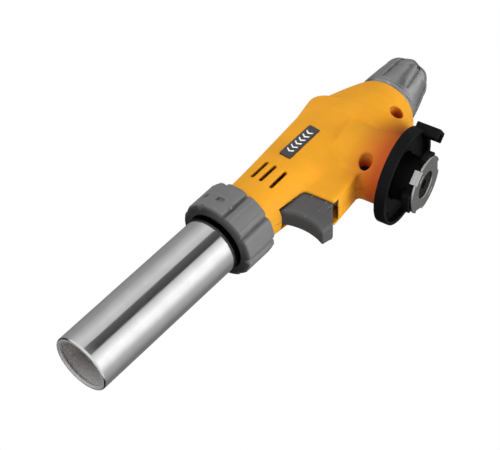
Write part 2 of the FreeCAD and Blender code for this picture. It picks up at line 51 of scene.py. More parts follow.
TUBE_RADIUS = 12.5
TUBE_WALL = 0.7
TUBE_FRONT = 77.1
TUBE_REAR = -10.8
TUBE_NECK_RADIUS = 12.2
TUBE_STEP = 0.5                  # the tube is full size ahead of this
TUBE_FLANGE_RADIUS = 13.7
LIP_RADIUS = 0.9

COLLAR_LENGTH = 16.5
COLLAR_TOP = 17.15
COLLAR_LOBES = 9
COLLAR_GROOVE_DEPTH = 1.6
COLLAR_GROOVE_WIDTH = 0.95
COLLAR_FIRST_GROOVE = 36.0

WALL = 1.6
NECK_RADIUS = 15.0
NECK_BOTTOM = 6.2
KEEL_HALF_WIDTH = 7.6
KEEL_FRONT = 32.0
KEEL_BOTTOM = 16.6
KEEL_BOTTOM_REAR = 14.8
KNOB_AXIS_Z = 28.1
DOME_END = -32.6
CASING_REAR = -15.8
SCREW_PLACES = [(9.5, 14.6), (-21.0, 16.6)]
SCREW_HEAD_Y = 4.5
SCREW_POST_RADIUS = 3.3
SCREW_BORE = 2.5
BADGE_PLACE = (14.6, 42.2)
BADGE_FLOOR = 12.6
BADGE_FACE = 13.8

TRIGGER_TRAVEL = 4.0
PLUNGER_Z = 22.0

KNOB_START = -33.1
KNOB_LENGTH = 25.4
KNOB_GROOVES = 7
KNOB_FIRST_GROOVE = 105.0

RING_RADIUS = 20.9
RING_HEIGHT = 4.8
RING_WALL = 1.6
TAB_ANGLE = 146.0
BOSS_RADIUS = 10.0
LUG_RADIUS = 13.6
LUG_TOP = -5.0
LUG_BOTTOM = -7.0
LUG_ANGLE = 115.0
PLATE_RADIUS = 12.5
SEAT_FACE = -8.0
SEAL_RADIUS = 6.0
TONGUE_ANGLE = 55.0
TONGUE_REACH = 10.8
TONGUE_HALF_WIDTH = 3.1
TONGUE_TOP = -4.4

SEAM_GAP = 0.04                  # half the parting line between the two casing halves
CASING_REACH = 16.2              # how far out from the seam a casing half is meshed
CASING_STEP = 0.42               # cell size of the casing's mesh
CASING_POWER = 2.25              # 2 would be an ellipse
DOME_FRONT = -9.0
VENT_ROWS = (-5.8, -0.6, 3.6)    # distance of each air slot above the barrel axis
VENT_MIDDLE = -32.4
VENT_HALF_LENGTH = 4.4
VENT_RADIUS = 0.85
TRIGGER_WAY_HALF_WIDTH = 6.1
BADGE_HALF_LENGTH = 10
BADGE_HALF_HEIGHT = 2.75
CHEVRONS = 6
CHEVRON_PITCH = 2.5
COLLAR_PAD_ANGLE = 104.0
COLLAR_WINDOW_ANGLES = (98.0, 127.0)
STUD_ANGLES = (20.0, 92.0, 245.0, 310.0)
STUD_DISTANCE = 16.9
STUD_RADIUS = 0.75

# ---------------------------------------------------------------- fields: negative inside, in mm


def union(a, b, soft=0.0):
    if np.isscalar(soft) and soft <= 0:
        return np.minimum(a, b)
    mix = np.clip(0.5 + 0.5 * (b - a) / soft, 0, 1)
    return b * (1 - mix) + a * mix - soft * mix * (1 - mix)


def common(a, b, soft=0.0):
    return -union(-a, -b, soft)


def cut(a, b, soft=0.0):
    return -union(-a, b, soft)


def block(x, y, z, low, high, rounding=0.0):
    """Rounded box between two corners."""
    centre = [(a + b) / 2 for a, b in zip(low, high)]
    half = [(b - a) / 2 - rounding for a, b in zip(low, high)]
    dx = np.abs(x - centre[0]) - half[0]
    dy = np.abs(y - centre[1]) - half[1]
    dz = np.abs(z - centre[2]) - half[2]
    outside = np.sqrt(np.maximum(dx, 0) ** 2 + np.maximum(dy, 0) ** 2 + np.maximum(dz, 0) ** 2)
    inside = np.minimum(np.maximum(np.maximum(dx, dy), dz), 0)
    return outside + inside - rounding


def arc(start, middle, end, count=10):
    """Points along the circle through three points."""
    ax, ay = start
    bx, by = middle
    cx, cy = end
    d = 2 * (ax * (by - cy) + bx * (cy - ay) + cx * (ay - by))
    ux = ((ax**2 + ay**2) * (by - cy) + (bx**2 + by**2) * (cy - ay) + (cx**2 + cy**2) * (ay - by)) / d
    uy = ((ax**2 + ay**2) * (cx - bx) + (bx**2 + by**2) * (ax - cx) + (cx**2 + cy**2) * (bx - ax)) / d
    radius = math.hypot(ax - ux, ay - uy)
    first, mid, last = [math.atan2(p[1] - uy, p[0] - ux) for p in (start, middle, end)]
    turn = (last - first) % (2 * math.pi)
    if (mid - first) % (2 * math.pi) > turn:
        turn -= 2 * math.pi
    angles = [first + turn * k / count for k in range(count + 1)]
    return [(ux + radius * math.cos(a), uy + radius * math.sin(a)) for a in angles]


def outline(points, u, v):
    """Signed distance to a closed outline in a plane."""
    best = np.full(u.shape, 1e9, np.float32)
    inside = np.zeros(u.shape, bool)
    for (ax, ay), (bx, by) in zip(points, points[1:] + points[:1]):
        ex, ey = bx - ax, by - ay
        length = ex * ex + ey * ey
        if length < 1e-9:
            continue
        t = np.clip(((u - ax) * ex + (v - ay) * ey) / length, 0, 1)
        best = np.minimum(best, (u - ax - t * ex) ** 2 + (v - ay - t * ey) ** 2)
        if ay != by:
            crosses = ((ay > v) != (by > v)) & (u < ex * (v - ay) / ey + ax)
            inside ^= crosses
    return np.where(inside, -np.sqrt(best), np.sqrt(best))


def spun(x, y, degrees):
    """Coordinates in a frame turned about Z."""
    a = math.radians(degrees)
    return x * math.cos(a) + y * math.sin(a), y * math.cos(a) - x * math.sin(a)


def barrel_coordinates(x, y, z):
    """How far forward of the collar's face, how far down from the barrel axis, and y."""
    dx = x - BARREL_FACE[0]
    dz = z - BARREL_FACE[2]
    return dx * FORWARD[0] + dz * FORWARD[2], dx * DOWN[0] + dz * DOWN[2], y


def surface(name, field, low, high, step):
    """Mesh of a field's zero surface: one vertex in each cell that it crosses, moved onto the surface."""
    axes = [np.arange(a - 2.5 * step, b + 2.5 * step, step, np.float32) for a, b in zip(low, high)]
    x, y, z = np.meshgrid(*axes, indexing="ij")
    value = field(x, y, z).astype(np.float32)
    inside = value < 0
    cells = tuple(n - 1 for n in value.shape)
    total = np.zeros(cells + (3,), np.float32)
    count = np.zeros(cells, np.float32)
    crossings = []
    for axis in range(3):
        others = [k for k in range(3) if k != axis]
        first = [slice(None)] * 3
        second = [slice(None)] * 3
        first[axis] = slice(None, -1)
        second[axis] = slice(1, None)
        a, b = value[tuple(first)], value[tuple(second)]
        crossed = inside[tuple(first)] != inside[tuple(second)]
        part = np.where(crossed, a / np.where(crossed, a - b, 1), 0)
        crossings.append((crossed, inside[tuple(first)]))
        for du in (0, 1):
            for dv in (0, 1):
                take = [slice(None)] * 3
                take[others[0]] = slice(du, value.shape[others[0]] - 1 + du)
                take[others[1]] = slice(dv, value.shape[others[1]] - 1 + dv)
                here = crossed[tuple(take)]
                count += here
                total[..., axis] += np.where(here, part[tuple(take)], 0)
                total[..., others[0]] += here * du
                total[..., others[1]] += here * dv
    used = count > 0
    number = np.full(cells, -1, np.int64)
    number[used] = np.arange(int(used.sum()))
    corner = np.argwhere(used)
    points = (corner + total[used] / count[used][:, None]) * step + [a[0] for a in axes]
    quads = []
    for axis in range(3):
        crossed, starts_inside = crossings[axis]
        u, v = [k for k in range(3) if k != axis]
        where = np.argwhere(crossed)
        keep = (where[:, u] > 0) & (where[:, v] > 0)
        keep &= (where[:, u] < cells[u]) & (where[:, v] < cells[v])
        where = where[keep]
        flip = starts_inside[tuple(where.T)]
        ring = []
        for du, dv in ((0, 0), (1, 0), (1, 1), (0, 1)):
            at = where.copy()
            at[:, u] -= du
            at[:, v] -= dv
            ring.append(number[tuple(at.T)])
        quad = np.stack(ring, 1)
        turned_over = flip if axis != 1 else ~flip
        quad[~turned_over] = quad[~turned_over][:, ::-1]
        quads.append(quad)
    quads = np.concatenate(quads)
    points = settle(points, field, step)
    return mesh_object(name, points * MM, quads)


def settle(points, field, step):
    """Two Newton steps of each point onto the field's zero surface, never further than half a cell."""
    start = points.copy()
    small = 0.05 * step
    for _ in range(2):
        x, y, z = points.T
        here = field(x, y, z)
        slope = np.stack([field(x + small, y, z) - here, field(x, y + small, z) - here,
                          field(x, y, z + small) - here], 1) / small
        size = np.maximum((slope**2).sum(1), 0.1)
        points = points - slope * (here / size)[:, None]
        points = start + np.clip(points - start, -0.5 * step, 0.5 * step)
    return points


def mesh_object(name, points, faces, smooth=True):
    """Object from points in metres and an array of four-sided faces."""
    mesh = bpy.data.meshes.new(name)
    mesh.vertices.add(len(points))
    mesh.vertices.foreach_set("co", np.asarray(points, np.float32).ravel())
    mesh.loops.add(faces.size)
    mesh.loops.foreach_set("vertex_index", np.asarray(faces.ravel(), np.int32))
    mesh.polygons.add(len(faces))
    mesh.polygons.foreach_set("loop_start", np.arange(0, faces.size, 4, np.int32))
    mesh.polygons.foreach_set("loop_total", np.full(len(faces), 4, np.int32))
    mesh.update(calc_edges=True)
    mesh.validate()
    if smooth:
        mesh.shade_smooth()
    thing = bpy.data.objects.new(name, mesh)
    bpy.context.scene.collection.objects.link(thing)
    return thing


def lathe(name, profile, segments=160):
    """Closed outline of (radius, forward) points, in mm, turned about the barrel axis."""
    points = []
    for k in range(segments):
        a = 2 * math.pi * k / segments
        for radius, forward in profile:
            place = np.array(BARREL_FACE) + FORWARD * forward + DOWN * radius * math.cos(a)
            points.append(place + np.array([0, radius * math.sin(a), 0]))
    count = len(profile)
    faces = []
    for k in range(segments):
        for j in range(count):
            a = k * count + j
            b = k * count + (j + 1) % count
            c = ((k + 1) % segments) * count + (j + 1) % count
            d = ((k + 1) % segments) * count + j
            faces.append((a, d, c, b))
    return mesh_object(name, np.array(points) * MM, np.array(faces))


# ---------------------------------------------------------------- casing


CASING = [(52.6, 60.0, 35.0, 12.6), (38.0, 58.3, 31.0, 12.9), (24.0, 57.2, 26.6, 13.3),
          (10.0, 56.2, 22.2, 13.6), (-3.0, 55.3, 18.0, 14.1), (-15.8, 55.8, 13.8, 14.4)]
DOME = [(-9.0, 54.0, 6.7, 14.4), (-17.0, 52.6, 7.3, 15.1), (-23.0, 48.6, 9.3, 15.2),
        (-28.4, 44.8, 12.0, 14.7), (-32.6, 41.7, 14.5, 13.6)]


def along(stations, column, degree, x):
    """One column of the stations at x: straight runs between them, or a fitted curve."""
    places = [s[0] for s in stations]
    values = [s[column] for s in stations]
    if degree:
        return np.polyval(np.polyfit(places, values, degree), x)
    return np.interp(x, places[::-1], values[::-1])


def egg(x, y, z, stations, power):
    """Body whose section square to X is a superellipse; stations hold x, top, bottom, half width."""
    top = along(stations, 1, 0, x)
    bottom = along(stations, 2, 3, x)
    half = along(stations, 3, 3, x)
    tall = (top - bottom) / 2
    up = z - (top + bottom) / 2
    shape = ((np.abs(y) / half) ** power + (np.abs(up) / tall) ** power) ** (1 / power)
    reach = np.hypot(y, up)
    return reach - reach / np.maximum(shape, 0.02)


def casing_outside(x, y, z):
    casing = common(egg(x, y, z, CASING, CASING_POWER), CASING_REAR - x, 1.6)
    dome = egg(x, y, z, DOME, 2.0)
    dome = common(common(dome, DOME_END - x, 0.8), x - DOME_FRONT, 1.0)
    low = KEEL_BOTTOM_REAR + (KEEL_BOTTOM - KEEL_BOTTOM_REAR) * x / KEEL_FRONT
    keel = block(x, y, z, (-4.0, -KEEL_HALF_WIDTH, -20.0), (KEEL_FRONT, KEEL_HALF_WIDTH, 42.0), 1.2)
    keel = common(keel, low - z, 1.2)
    neck = common(np.hypot(x, y) - NECK_RADIUS, np.maximum(NECK_BOTTOM - z, z - 30.0), 0.6)
    body = union(casing, dome, 1.4)
    body = union(body, neck, 2.0)
    return union(body, keel, 2.0)


def vent_slot(x, y, z, row):
    ahead, below, _ = barrel_coordinates(x, y, z)
    along = np.maximum(np.abs(ahead - VENT_MIDDLE) - VENT_HALF_LENGTH, 0)
    return np.hypot(along, below + row) - VENT_RADIUS


def trigger_way(x, y, z):
    back = KEEL_FRONT - TRIGGER_TRAVEL
    floor = KEEL_BOTTOM + 1.1
    below = KEEL_BOTTOM - 1.2
    half = TRIGGER_WAY_HALF_WIDTH
    way = block(x, y, z, (back - 5.0, -half, floor), (45.2, half, 36.6))
    bevel = outline([(back - 1.0, floor + 0.1), (back + 2.7, below), (KEEL_FRONT + 3.0, below),
                     (KEEL_FRONT + 3.0, floor + 0.1)], x, z)
    return union(way, np.maximum(bevel, np.abs(y) - half))


def badge_slab(x, y, z, gap, low, high):
    dx = x - BADGE_PLACE[0]
    dz = z - BADGE_PLACE[1]
    along = dx * math.cos(TILT) + dz * math.sin(TILT)
    across = dz * math.cos(TILT) - dx * math.sin(TILT)
    length = BADGE_HALF_LENGTH - gap
    height = BADGE_HALF_HEIGHT - gap
    return block(along, y, across, (-length, low, -height), (length, high, height), 0.25)


def casing_shell(x, y, z):
    outside = casing_outside(x, y, z)
    shell = np.maximum(outside, -(outside + WALL))
    ahead, below, _ = barrel_coordinates(x, y, z)
    radius = np.hypot(below, y)
    for px, pz in SCREW_PLACES:
        post = np.hypot(x - px, z - pz)
        column = np.maximum(post - SCREW_POST_RADIUS, np.maximum(-11.0 - y, y - 15.0))
        shell = union(shell, np.maximum(column, outside))
        flared = post - SCREW_BORE - 0.06 * np.clip(y - SCREW_HEAD_Y - 2.0, 0, 6)
        shell = cut(shell, np.maximum(flared, SCREW_HEAD_Y - y), 0.7)
        shell = cut(shell, np.maximum(post - 1.4, -y - 7.5))
    shell = cut(shell, -(ahead + COLLAR_LENGTH + 0.2), 0.3)
    shell = cut(shell, np.maximum(radius - 11.06, -(ahead + COLLAR_LENGTH + 9.0)))
    for row in VENT_ROWS:
        shell = cut(shell, vent_slot(x, y, z, row), 0.35)
    shell = cut(shell, trigger_way(x, y, z), 0.3)
    shell = cut(shell, np.maximum(np.hypot(x, y) - 12.0, z - NECK_BOTTOM - WALL - 0.1))
    shell = cut(shell, np.maximum(np.hypot(y, z - KNOB_AXIS_Z) - 6.75, x + 20.0))
    return cut(shell, badge_slab(x, y, z, 0.0, BADGE_FLOOR, 30.0), 0.2)


def casing_half(name, side):
    """One half of the casing: side is 1 for the badge side and -1 for the plain side."""

    def half(x, y, z):
        return common(casing_shell(x, y, z), SEAM_GAP - side * y, 0.15)

    low_y, high_y = sorted((0.0, side * CASING_REACH))
    return surface(name, half, (-32.7, low_y, 6.1), (52.8, high_y, 60.6), CASING_STEP)


# ---------------------------------------------------------------- barrel


def collar_field(x, y, z):
    ahead, below, _ = barrel_coordinates(x, y, z)
    radius = np.hypot(below, y)
    angle = np.degrees(np.arctan2(y, below))
    pitch = 360.0 / COLLAR_LOBES
    away = (angle - COLLAR_FIRST_GROOVE + pitch / 2) % pitch - pitch / 2
    arc_length = np.radians(away) * COLLAR_TOP
    groove = COLLAR_GROOVE_DEPTH * np.exp(-((arc_length / COLLAR_GROOVE_WIDTH) ** 2))
    half_pitch = math.radians(pitch / 2) * COLLAR_TOP
    rib = 0.22 * np.exp(-(((np.abs(arc_length) - 0.5 * half_pitch) / 0.35) ** 2))
    grip = radius - (COLLAR_TOP - 0.1 - groove + rib)
    pad_side = (angle - COLLAR_PAD_ANGLE + 180.0) % 360.0 - 180.0
    pad = np.maximum(radius - 17.35, np.abs(np.radians(pad_side)) * 17.0 - 7.6)
    pad = np.maximum(pad, np.abs(ahead + 8.2) - 6.6)
    grip = union(grip, pad, 0.5)
    bow = ahead + 9.6 - 3.4 * (np.radians(pad_side) * 17.0 / 8.0) ** 2
    wire = np.hypot(bow * 0.8, radius - 17.3) - 0.5
    wire = np.maximum(wire, np.abs(np.radians(pad_side)) * 17.0 - 8.4)
    grip = union(grip, wire, 0.3)
    for middle in COLLAR_WINDOW_ANGLES:
        side = (angle - middle + 180.0) % 360.0 - 180.0
        round_collar = np.radians(side) * 17.0
        window = block(round_collar, ahead, radius, (-1.7, -8.0, 16.2), (1.7, -5.9, 20.0), 0.3)
        grip = cut(grip, window, 0.2)
    body = common(grip, -ahead - COLLAR_LENGTH, 1.0)
    chamfer = (radius - 16.1 + ahead) * 0.7071
    body = common(common(body, ahead, 0.4), chamfer, 0.5)
    tube_hole = radius - TUBE_RADIUS - 0.3
    cavity = TUBE_FLANGE_RADIUS + 0.6
    shoulder = TUBE_REAR + TUBE_WALL + 0.3
    rear = np.maximum(radius - cavity, ahead - shoulder)
    ring_space = np.maximum(radius - cavity, np.maximum(shoulder + 1.6 - ahead, ahead + 2.4))
    return cut(cut(cut(body, tube_hole, 0.3), rear), ring_space)


def collar():
    return surface("twist_collar", collar_field, (47.0, -18.0, 29.5), (71.0, 18.0, 69.0), 0.33)


def flame_tube():
    inside = TUBE_RADIUS - TUBE_WALL
    middle = TUBE_FRONT - LIP_RADIUS
    centre = TUBE_RADIUS - LIP_RADIUS
    flange_front = TUBE_REAR + TUBE_WALL
    profile = [(inside, TUBE_REAR), (TUBE_FLANGE_RADIUS, TUBE_REAR), (TUBE_FLANGE_RADIUS, flange_front),
               (TUBE_NECK_RADIUS, flange_front), (TUBE_NECK_RADIUS, TUBE_STEP), (TUBE_RADIUS, TUBE_STEP)]
    profile += [(TUBE_RADIUS, 4 + 9.0 * k) for k in range(8)]
    for k in range(13):
        a = math.pi * k / 12
        profile.append((centre + LIP_RADIUS * math.cos(a), middle + LIP_RADIUS * math.sin(a)))
    profile += [(centre - LIP_RADIUS + 0.3, middle - 0.55), (inside, middle - 0.9), (inside, middle - 1.4),
                (inside, 40.0), (inside, 0.0), (inside, TUBE_REAR + 0.3)]
    return lathe("flame_tube_polished", profile)


# ---------------------------------------------------------------- trigger


def trigger_field(x, y, z):
    front = arc((44.6, 35.2), (42.7, 27.0), (45.5, 15.4), 14)
    tip = arc((45.5, 15.4), (45.6, 14.5), (45.0, 14.0), 4)
    side = front + tip[1:] + [(41.0, 12.6), (39.8, 12.9), (31.2, 18.2), (30.0, 18.2), (30.0, 35.6)]
    flat = outline(side, x, z)
    half = np.interp(x, [33.0, 40.0, 46.0], [5.7, 5.1, 4.6])
    # thumb-soft edges round the front, crisper ones where it slides in the casing
    lever = common(flat, np.abs(y) - half, 0.7 + 1.9 * np.clip((x - 37.0) / 5.0, 0, 1))
    heel = np.maximum(z - 17.1 - 0.15 * (x - 31.3), x - 38.6 - 0.38 * (18.5 - z))
    lever = cut(lever, np.maximum(heel, 5.05 - np.abs(y)), 0.15)
    # the lowest rib starts further forward, to stay clear of the casing's floor when the trigger is in
    for height, rear in ((26.5, 30.5), (20.0, 30.5), (17.3, 32.8)):
        rib = np.abs(z - height - 0.15 * (x - 31.3)) - 0.17
        rib = np.maximum(rib, np.abs(np.abs(y) - half) - 0.2)
        rib = np.maximum(rib, np.maximum(rear - x, x - 37.9))
        lever = union(lever, rib, 0.2)
    socket = block(x, y, z, (20.0, -2.6, PLUNGER_Z - 2.6), (KEEL_FRONT, 2.6, PLUNGER_Z + 2.6))
    return cut(lever, socket, 0.2)


def trigger():
    return surface("trigger_lever", trigger_field, (29.8, -6.0, 12.3), (47.3, 6.0, 35.8), 0.28)


# ---------------------------------------------------------------- knob


def knob_outline():
    taper = arc((13.2, 1.6), (12.45, 8.4), (10.9, 16.6), 10)
    nose = arc((10.9, 16.6), (9.0, KNOB_LENGTH - 3.0), (5.2, KNOB_LENGTH), 12)
    base = [(0.0, 0.0), (12.5, 0.0), (12.6, 0.9), (13.0, 1.2)]
    return base + taper + nose[1:] + [(0.0, KNOB_LENGTH)]


def knob_field(x, y, z):
    back = KNOB_START - x
    up = z - KNOB_AXIS_Z
    radius = np.hypot(y, up)
    # mirrored across the axis so that the distance to the axis itself isn't a surface
    half = knob_outline()
    full = half + [(-r, b) for r, b in reversed(half)]
    angle = np.degrees(np.arctan2(y, -up))
    pitch = 360.0 / KNOB_GROOVES
    away = (angle - KNOB_FIRST_GROOVE + pitch / 2) % pitch - pitch / 2
    near = np.cos(np.radians(away) * KNOB_GROOVES) * 0.5 + 0.5
    form = outline(full, radius, back) + 0.5 * near * np.clip((back - 3.5) / 6.0, 0, 1)
    body = np.maximum(form, -(form + 1.6))
    hub = np.maximum(radius - 5.6, np.maximum(2.0 - back, form))
    web = np.maximum(np.maximum(15.0 - back, back - 18.0), form)
    body = union(union(body, hub), web)
    body = cut(body, np.maximum(radius - 4.25, back - 13.3))
    aside = np.abs(np.radians(away) * radius)
    along_groove = np.maximum(np.maximum(5.4 - back, back - 21.6), 0)
    groove = np.maximum(np.hypot(along_groove, aside) - 0.85, -(form + 0.95))
    base_line = np.hypot(radius - 13.25, back - 2.6) - 0.42
    return cut(cut(body, groove, 0.3), base_line, 0.2)


def knob():
    return surface("gas_knob", knob_field, (-58.8, -13.6, 14.6), (-33.0, 13.6, 41.6), 0.33)


# ---------------------------------------------------------------- can seat


def guide_ring_field(x, y, z):
    radius = np.hypot(x, y)
    floor = 3.2
    inner = BOSS_RADIUS + 0.3
    tucked = 0.35
    side = [(inner + tucked, floor + tucked), (RING_RADIUS - RING_WALL + tucked, floor + tucked),
            (RING_RADIUS - RING_WALL + tucked, tucked), (RING_RADIUS - tucked, tucked),
            (RING_RADIUS - tucked, RING_HEIGHT + 0.2 - tucked), (inner + tucked, RING_HEIGHT + 0.2 - tucked)]
    ring = outline(side, radius, z) - tucked
    u, v = spun(x, y, TAB_ANGLE)
    tab = block(u, v, z, (17.6, -3.6, -5.8), (22.9, 3.6, 5.0), 0.35)
    tab = cut(tab, block(u, v, z, (15.0, -2.1, -8.0), (21.2, 2.1, floor)), 0.3)
    tab = cut(tab, np.maximum(radius - 18.7, z - floor), 0.3)
    ring = union(ring, tab, 0.3)
    for degrees in STUD_ANGLES:
        u, v = spun(x, y, degrees)
        stud = np.maximum(np.hypot(u - STUD_DISTANCE, v) - STUD_RADIUS, np.abs(z - 2.9) - 0.5)
        ring = union(ring, stud, 0.2)
    return ring


def guide_ring():
    return surface("can_guide_ring", guide_ring_field, (-21.4, -21.4, -6.0), (21.4, 21.4, 5.2), 0.36)


def boss_field(x, y, z):
    radius = np.hypot(x, y)
    body = common(radius - BOSS_RADIUS, np.maximum(LUG_BOTTOM - z, z - 4.0), 0.3)
    for k in range(3):
        u, v = spun(x, y, LUG_ANGLE + 120 * k)
        ramp = LUG_TOP + 0.16 * (v + 5.2)
        lug = common(radius - LUG_RADIUS, np.abs(v) - 5.2, 0.5)
        lug = np.maximum(common(lug, np.maximum(LUG_BOTTOM - z, z - ramp), 0.4), -u)
        body = union(body, lug, 0.3)
    for k in range(3):
        u, v = spun(x, y, TONGUE_ANGLE + 120 * k)
        flat = block(u, v, z, (TONGUE_REACH - 1.0, -3.2, -20.0), (30.0, 3.2, TONGUE_TOP + 0.1))
        body = cut(body, flat)
    body = cut(body, np.maximum(radius - 7.4, z - LUG_TOP - 1.0))
    body = cut(body, np.maximum(radius - 5.1, 1.9 - z))
    return cut(body, radius - 4.2)


def boss():
    return surface("bayonet_boss", boss_field, (-13.9, -13.9, -7.1), (13.9, 13.9, 4.1), 0.3)


def seat_plate_field(x, y, z):
    radius = np.hypot(x, y)
    plate = common(radius - PLATE_RADIUS, np.abs(z - (SEAT_FACE + LUG_BOTTOM) / 2) - 0.48, 0.3)
    wall = np.maximum(radius - 7.3, np.maximum(LUG_BOTTOM - 0.1 - z, z - LUG_TOP - 0.98))
    plate = union(plate, wall)
    for k in range(3):
        u, v = spun(x, y, TONGUE_ANGLE + 120 * k)
        plate = cut(plate, block(u, v, z, (TONGUE_REACH, -3.2, -20.0), (30.0, 3.2, 2.0)), 0.2)
        foot = (TONGUE_REACH - 0.9, -TONGUE_HALF_WIDTH, SEAT_FACE)
        tongue = block(u, v, z, foot, (TONGUE_REACH, TONGUE_HALF_WIDTH, TONGUE_TOP), 0.2)
        plate = union(plate, tongue, 0.2)
    for k in range(2):
        u, v = spun(x, y, TONGUE_ANGLE + 3 + 180 * k)
        plate = cut(plate, block(u, v, z, (7.9, -1.9, -20.0), (9.4, 1.9, 0.0), 0.3), 0.15)
    return cut(plate, radius - SEAL_RADIUS, 0.3)


def seat_plate():
    return surface("seat_plate_nickelled", seat_plate_field, (-12.7, -12.7, -8.2), (12.7, 12.7, -3.9), 0.2)


# ---------------------------------------------------------------- badge


def badge_field(x, y, z):
    return badge_slab(x, y, z, 0.05, BADGE_FLOOR, BADGE_FACE)


def badge():
    return surface("badge_plate", badge_field, (3.5, 12.4, 37.5), (25.5, 14.0, 47.0), 0.16)


def badge_marks():
    """A row of plain chevrons, raised a little from the badge."""
    points = []
    faces = []
    thin = 0.75
    for k in range(CHEVRONS):
        start = -6.9 + CHEVRON_PITCH * k
        shape = [(start, -1.6), (start + 1.0, 0.0), (start, 1.6),
                 (start + thin, 1.6), (start + thin + 1.0, 0.0), (start + thin, -1.6)]
        base = len(points)
        for height in (BADGE_FACE - 0.02, BADGE_FACE + 0.1):
            for along, across in shape:
                x = BADGE_PLACE[0] + along * math.cos(TILT) - across * math.sin(TILT)
                z = BADGE_PLACE[1] + along * math.sin(TILT) + across * math.cos(TILT)
                points.append((x, height, z))
        for a, b, c, d in ((0, 1, 4, 5), (1, 2, 3, 4)):
            faces.append((base + a, base + b, base + c, base + d))
            faces.append((base + 6 + d, base + 6 + c, base + 6 + b, base + 6 + a))
        for j in range(6):
            after = (j + 1) % 6
            faces.append((base + after, base + j, base + 6 + j, base + 6 + after))
    return mesh_object("badge_marks", np.array(points) * MM, np.array(faces), smooth=False)


# ---------------------------------------------------------------- materials


class Nodes:
    """Short names for the few shader nodes that the materials share."""

    def __init__(self, name):
        self.material = bpy.data.materials.new(name)
        self.material.use_nodes = True
        self.tree = self.material.node_tree
        self.shader = self.tree.nodes["Principled BSDF"]
        self.place = self.tree.nodes.new("ShaderNodeTexCoord")

    def set(self, **values):
        for key, value in values.items():
            self.shader.inputs[key.replace("_", " ")].default_value = value

    def link(self, a, b):
        self.tree.links.new(a, b)

    def noise(self, scale, detail=3.0, stretch=(1.0, 1.0, 1.0), roughness=0.55):
        mapping = self.tree.nodes.new("ShaderNodeMapping")
        mapping.inputs["Scale"].default_value = stretch
        self.link(self.place.outputs["Object"], mapping.inputs["Vector"])
        node = self.tree.nodes.new("ShaderNodeTexNoise")
        node.inputs["Scale"].default_value = scale
        node.inputs["Detail"].default_value = detail
        node.inputs["Roughness"].default_value = roughness
        self.link(mapping.outputs["Vector"], node.inputs["Vector"])
        return node.outputs["Fac"]

    def span(self, value, low, high, start=0.0, end=1.0):
        node = self.tree.nodes.new("ShaderNodeMapRange")
        node.inputs["From Min"].default_value = start
        node.inputs["From Max"].default_value = end
        node.inputs["To Min"].default_value = low
        node.inputs["To Max"].default_value = high
        self.link(value, node.inputs["Value"])
        return node.outputs["Result"]

    def mix(self, factor, first, second):
        node = self.tree.nodes.new("ShaderNodeMix")
        node.data_type = "RGBA"
        self.link(factor, node.inputs["Factor"])
        for socket, colour in ((node.inputs["A"], first), (node.inputs["B"], second)):
            if isinstance(colour, tuple):
                socket.default_value = (*colour, 1.0)
            else:
                self.link(colour, socket)
        return node.outputs["Result"]

    def math(self, operation, first, second):
        node = self.tree.nodes.new("ShaderNodeMath")
        node.operation = operation
        self.link(first, node.inputs[0])
        self.link(second, node.inputs[1])
        return node.outputs[0]

    def distance(self, centre, axes):
        """Distance from a point, counting only the axes marked with 1."""
        shift = self.tree.nodes.new("ShaderNodeVectorMath")
        shift.operation = "SUBTRACT"
        shift.inputs[1].default_value = centre
        self.link(self.place.outputs["Object"], shift.inputs[0])
        flatten = self.tree.nodes.new("ShaderNodeVectorMath")
        flatten.operation = "MULTIPLY"
        flatten.inputs[1].default_value = axes
        self.link(shift.outputs["Vector"], flatten.inputs[0])
        length = self.tree.nodes.new("ShaderNodeVectorMath")
        length.operation = "LENGTH"
        self.link(flatten.outputs["Vector"], length.inputs[0])
        return length.outputs["Value"]

    def from_face(self):
        """Place measured from where the barrel axis meets the collar's front face."""
        shift = self.tree.nodes.new("ShaderNodeVectorMath")
        shift.operation = "SUBTRACT"
        shift.inputs[1].default_value = [MM * c for c in BARREL_FACE]
        self.link(self.place.outputs["Object"], shift.inputs[0])
        return shift.outputs["Vector"]

    def ahead(self):
        """How far forward along the barrel."""
        dot = self.tree.nodes.new("ShaderNodeVectorMath")
        dot.operation = "DOT_PRODUCT"
        dot.inputs[1].default_value = FORWARD
        self.link(self.from_face(), dot.inputs[0])
        return dot.outputs["Value"]

    def off_barrel(self):
        """Distance from the barrel axis."""
        cross = self.tree.nodes.new("ShaderNodeVectorMath")
        cross.operation = "CROSS_PRODUCT"
        cross.inputs[1].default_value = FORWARD
        self.link(self.from_face(), cross.inputs[0])
        length = self.tree.nodes.new("ShaderNodeVectorMath")
        length.operation = "LENGTH"
        self.link(cross.outputs["Vector"], length.inputs[0])
        return length.outputs["Value"]

    def hollows(self):
        """1 in tight inner corners, 0 elsewhere; marks where painted shade goes."""
        geometry = self.tree.nodes.new("ShaderNodeNewGeometry")
        return self.span(geometry.outputs["Pointiness"], 1.0, 0.0, 0.36, 0.47)

    def edges(self):
        """1 on convex corners, 0 elsewhere; marks corners painted lighter, partly wear and partly a painted
        highlight.
        """
        geometry = self.tree.nodes.new("ShaderNodeNewGeometry")
        return self.span(geometry.outputs["Pointiness"], 0.0, 1.0, 0.53, 0.66)

    def bump(self, height, distance, strength, before=None):
        node = self.tree.nodes.new("ShaderNodeBump")
        node.inputs["Distance"].default_value = distance
        node.inputs["Strength"].default_value = strength
        self.link(height, node.inputs["Height"])
        if before is not None:
            self.link(before, node.inputs["Normal"])
        return node.outputs["Normal"]


